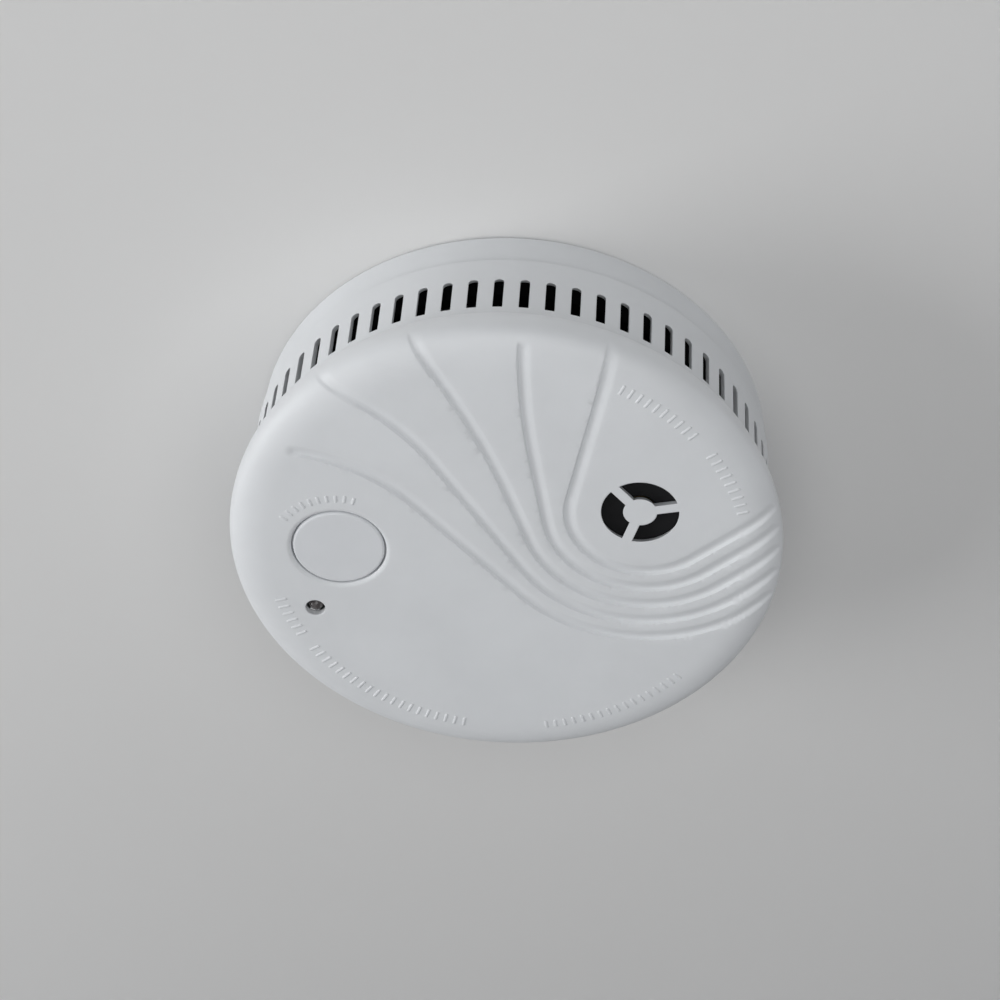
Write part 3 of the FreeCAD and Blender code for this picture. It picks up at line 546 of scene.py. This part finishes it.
def front_cover():
    """The whole front cover as one closed shell with its slots and openings."""
    shell = Shell()
    unit = column_directions(SLOT_HALF, WALL)
    unit_inside = column_directions(SLOT_HALF + SLOT_DRAFT, WALL - THICK)
    count = len(unit)
    per_pitch = ARCH_STEPS + WEB_STEPS

    def ring(radius, height, directions=unit):
        return shell.add(np.column_stack([directions * radius, np.broadcast_to(height, count)]))

    def grooved_ring(share):
        """Ring on the rounded rim, from 0 at its widest to 1 where the face begins."""
        lean = 0.5 * math.pi * share
        across = max(math.cos(lean), 0.0) ** (2.0 / RIM_POWER)
        down = max(math.sin(lean), 0.0) ** (2.0 / RIM_POWER)
        radius = RIM - RIM_WIDTH * (1.0 - across)
        height = WIDEST + (FACE - WIDEST) * down
        depth = swirl_depth(unit * radius) * down
        normal = np.array([across ** (RIM_POWER - 1.0) / RIM_WIDTH,
                           down ** (RIM_POWER - 1.0) / (WIDEST - FACE)])
        normal /= np.linalg.norm(normal)
        return ring((radius - depth * normal[0])[:, None], height + depth * normal[1])

    arch = np.full(count, SLOT_TOP - SLOT_HALF)
    for step in range(ARCH_STEPS + 1):
        arch[step::per_pitch] += SLOT_HALF * math.sin(math.pi * step / ARCH_STEPS)

    def wall(radius, top, foot, directions, raised):
        """Pierced cylinder between two heights. Gives its end rings and its rings at the slots."""
        heights = (top, 0.5 * (top + SLOT_TOP), arch + raised, SLOT_FOOT, foot)
        rings = [ring(radius, height, directions) for height in heights]
        for upper, lower in ((0, 1), (1, 2), (3, 4)):
            shell.bridge(rings[upper], rings[lower])
        above, below = rings[2], rings[3]
        for here in range(count):
            if here % per_pitch >= ARCH_STEPS:
                there = (here + 1) % count
                shell.faces.append((above[here], above[there], below[there], below[here]))
        return rings

    outer = wall(WALL, WALL_TOP - LIP, CREASE + CREASE_SOFT, unit, 0.0)
    lip = ring(WALL - LIP, WALL_TOP)
    shell.bridge(lip, outer[0])

    bulge = ((RIM - WALL) ** 2 + (CREASE - WIDEST) ** 2) / (2.0 * (RIM - WALL))
    last = outer[-1]
    start = math.asin((CREASE - WIDEST) / bulge)
    for step in range(BULGE_STEPS + 1):
        lean = start * (1.0 - step / BULGE_STEPS)
        radius = RIM - bulge + bulge * math.cos(lean)
        row = ring(max(radius, WALL + BULGE_CLEAR), WIDEST + bulge * math.sin(lean))
        shell.bridge(last, row)
        last = row
    for step in range(1, RIM_STEPS + 1):
        row = grooved_ring(step / RIM_STEPS)
        shell.bridge(last, row)
        last = row

    inner = wall(WALL - THICK, WALL_TOP, INNER_FOOT, unit_inside, ARCH_DRAFT)
    shell.bridge(inner[0], lip)
    for here in range(count):
        there = (here + 1) % count
        within = here % per_pitch
        if within < ARCH_STEPS:
            shell.faces.append((outer[2][here], inner[2][here], inner[2][there], outer[2][there]))
            shell.faces.append((outer[3][there], inner[3][there], inner[3][here], outer[3][here]))
        if within == 0:
            shell.faces.append((outer[2][here], outer[3][here], inner[3][here], inner[2][here]))
        if within == ARCH_STEPS:
            shell.faces.append((outer[3][here], outer[2][here], inner[2][here], inner[3][here]))
    bell = ring(RIM - THICK, WIDEST + 0.6 * THICK)
    shoulder = ring(RIM - 1.4 * THICK, INSIDE + 2.2 * THICK)
    inner_edge = ring(RIM - 4.5 * THICK, INSIDE)
    for upper, lower in ((inner[-1], bell), (bell, shoulder), (shoulder, inner_edge)):
        shell.bridge(lower, upper)

    def hole(levels):
        """Opening as rings of (outline, height) from the face inwards. Gives its first and last."""
        rows = [shell.add(np.column_stack([outline, np.full(len(outline), height)]))
                for outline, height in levels]
        for above, below in zip(rows[:-1], rows[1:]):
            shell.bridge(above, below)
        return rows[0], rows[-1]

    def soft_hole(centre, radius, soft, steps):
        """Round opening whose edge falls away softly, steeper towards the hole."""
        levels = []
        for share in np.linspace(0.0, 1.0, SOFT_RINGS):
            outline = circle(centre, radius + soft * (1.0 - share), steps)
            levels.append((outline, FACE + SOFT_DROP * soft * share ** SOFT_POWER))
        return hole(levels + [(circle(centre, radius, steps), INSIDE)])

    holes = [
        soft_hole(BUTTON, BUTTON_HOLE, BUTTON_SOFT, BUTTON_STEPS),
        soft_hole(LED, LED_HOLE, LED_SOFT, LED_STEPS),
    ]
    for turn in range(3):
        levels = [(grille_window(turn, 0.0), FACE), (grille_window(turn, GRILLE_DRAFT), INSIDE)]
        holes.append(hole(levels))

    sheet(shell, last, [first for first, _ in holes], swirl_depth)
    sheet(shell, inner_edge, [final for _, final in holes], lambda places: np.zeros(len(places)))
    return shell.object("cover_shell", MATERIALS["white_plastic"])


cover = front_cover()
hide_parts("front_cover")
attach(cover, "head")


# ---------------------------------------------------------------- raised marks on the face

MARK_WIDTH = 0.8
MARK_HEIGHT = 0.16
# Section of a bar: how far in from its outline and how high, as a share of its height
MARK_SECTION = ((0.0, -0.5), (0.1, 0.35), (0.22, 0.8), (0.36, 1.0))
MARK_SHARP = 50.0
AXIS = Vector((0.0, 0.0))
# Each row: centre, radius, first and last angle, spacing of its bars and their length
MARK_ROWS = {
    "marks_button": (BUTTON, 12.6, 212.0, 286.0, 1.7, 2.0),
    "marks_rim_left": (AXIS, 45.8, 97.0, 143.0, 1.9, 2.6),
    "marks_rim_corner": (AXIS, 45.8, 148.0, 161.0, 1.9, 2.6),
    "marks_rim_right": (AXIS, 45.8, 38.0, 77.0, 1.9, 2.2),
    "marks_rim_upper": (AXIS, 47.0, -66.0, -44.0, 1.9, 2.6),
    "marks_rim_side": (AXIS, 47.0, -38.0, -18.0, 1.9, 2.6),
}


def stadium(length, width, inset):
    """Outline of a bar with round ends, set in by a margin."""
    half = 0.5 * width - inset
    straight = 0.5 * (length - width)
    angles = np.radians(np.arange(-90.0, 90.1, 22.5))
    right = np.column_stack([straight + half * np.cos(angles), half * np.sin(angles)])
    return np.concatenate([right, -right])


def mark_row(name, centre, radius, low, high, spacing, length):
    """Row of plain raised ribs across an arc, each following the face below it."""
    shell = Shell()
    pitch = math.degrees(spacing / radius)
    for turn in range(int((high - low) / pitch) + 1):
        angle = math.radians(low + pitch * turn)
        along = np.array([-math.sin(angle), math.cos(angle)])
        across = np.array([math.cos(angle), math.sin(angle)])
        spot = np.array(centre) + across * radius
        previous = None
        for inset, raised in MARK_SECTION:
            flat = stadium(length, MARK_WIDTH, inset)
            places = spot + flat[:, :1] * across + flat[:, 1:] * along
            heights = FACE + rim_height(np.linalg.norm(places, axis=1)) - raised * MARK_HEIGHT
            row = shell.add(np.column_stack([places, heights]))
            if previous is None:
                shell.faces.append(tuple(reversed(row)))
            else:
                shell.bridge(previous, row)
            previous = row
        shell.faces.append(tuple(previous))
    piece = shell.object(name, MATERIALS["white_plastic"], MARK_SHARP)
    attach(piece, "head")


for row_name, row_place in MARK_ROWS.items():
    mark_row(row_name, *row_place)


# ---------------------------------------------------------------- the spring behind the button

spring = bpy.data.objects.new("press_spring", nodes["button_spring"].data.copy())
bpy.context.scene.collection.objects.link(spring)
spring.matrix_world = nodes["button_spring"].matrix_world
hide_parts("button_spring")
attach(spring, "head")
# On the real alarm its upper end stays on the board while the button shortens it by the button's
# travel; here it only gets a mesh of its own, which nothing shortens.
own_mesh(spring)


# ---------------------------------------------------------------- stage, lights and camera


def plane(name, size, height, faces_down):
    """Square stage plane of a size and at a height in metres."""
    half = 0.5 * size
    corners = [(x * half, y * half, height) for x, y in ((-1, -1), (1, -1), (1, 1), (-1, 1))]
    mesh = bpy.data.meshes.new(name)
    mesh.from_pydata(corners, [], [(3, 2, 1, 0) if faces_down else (0, 1, 2, 3)])
    piece = bpy.data.objects.new(name, mesh)
    bpy.context.scene.collection.objects.link(piece)
    return piece


def matt(name, colour, one_sided):
    """Plain matt paint, see-through from behind where one_sided."""
    m = Nodes(name)
    tone = m.ramp(m.noise(160.0, 2.0), [(0.3, tint(colour, 0.985)), (0.7, colour)])
    paint = m.add("ShaderNodeBsdfDiffuse")
    m.link(tone, paint.inputs["Color"])
    if one_sided:
        mix = m.add("ShaderNodeMixShader")
        m.link(m.add("ShaderNodeNewGeometry").outputs["Backfacing"], mix.inputs["Fac"])
        m.link(paint.outputs["BSDF"], mix.inputs[1])
        m.link(m.add("ShaderNodeBsdfTransparent").outputs["BSDF"], mix.inputs[2])
        m.link(mix.outputs["Shader"], m.output.inputs["Surface"])
    else:
        m.link(paint.outputs["BSDF"], m.output.inputs["Surface"])
    return m.material


LIGHTS_AIM = Vector((0.0, 0.0, -0.02))

ceiling = plane("ceiling", 4.0, 0.0005, True)
ceiling.data.materials.append(matt("ceiling_paint", (0.74, 0.74, 0.735), True))
ceiling.visible_shadow = False
floor = plane("floor", 14.0, -1.3, False)
floor.data.materials.append(matt("floor_paint", (0.8, 0.8, 0.8), False))


def area_light(name, direction, distance, size, power):
    """Round lamp in a direction from the alarm, at a distance in metres, facing it."""
    lamp = bpy.data.lights.new(name, "AREA")
    lamp.shape = "DISK"
    lamp.size = size
    lamp.energy = power
    light = bpy.data.objects.new(name, lamp)
    bpy.context.scene.collection.objects.link(light)
    away = Vector(direction).normalized()
    light.location = LIGHTS_AIM + away * distance
    light.rotation_mode = "QUATERNION"
    light.rotation_quaternion = away.to_track_quat("Z", "Y")


area_light("window", (-0.9, 0.06, -0.36), 0.8, 0.55, 3.4)
area_light("room", (0.1, -0.5, -0.85), 0.55, 0.5, 1.2)
area_light("above_left", (-0.35, -0.3, 1.0), 1.1, 1.0, 2.6)
area_light("above_back", (0.3, 0.45, 1.0), 1.1, 1.0, 2.2)

world = bpy.data.worlds.new("studio")
world.use_nodes = True
background = world.node_tree.nodes["Background"]
background.inputs["Color"].default_value = (0.93, 0.95, 1.0, 1.0)
background.inputs["Strength"].default_value = 0.23
bpy.context.scene.world = world
bpy.context.scene.view_settings.view_transform = "Standard"

# The camera stands below the ceiling on the -Y side and looks up at the alarm, rolled a little.
CAMERA_PLACE = Vector((0.0, -0.3806, -0.46))
CAMERA_AIM = Vector((-0.0017, -0.0013, -0.0199))
CAMERA_ROLL = 4.59
lens = bpy.data.cameras.new("camera")
lens.sensor_width = 36.0
lens.lens = 106.7
lens.clip_start = 0.02
camera = bpy.data.objects.new("camera", lens)
bpy.context.scene.collection.objects.link(camera)
facing = (CAMERA_AIM - CAMERA_PLACE).to_track_quat("-Z", "Y")
roll = Matrix.Rotation(math.radians(CAMERA_ROLL), 4, "Z")
camera.matrix_world = Matrix.Translation(CAMERA_PLACE) @ facing.to_matrix().to_4x4() @ roll
bpy.context.scene.camera = camera
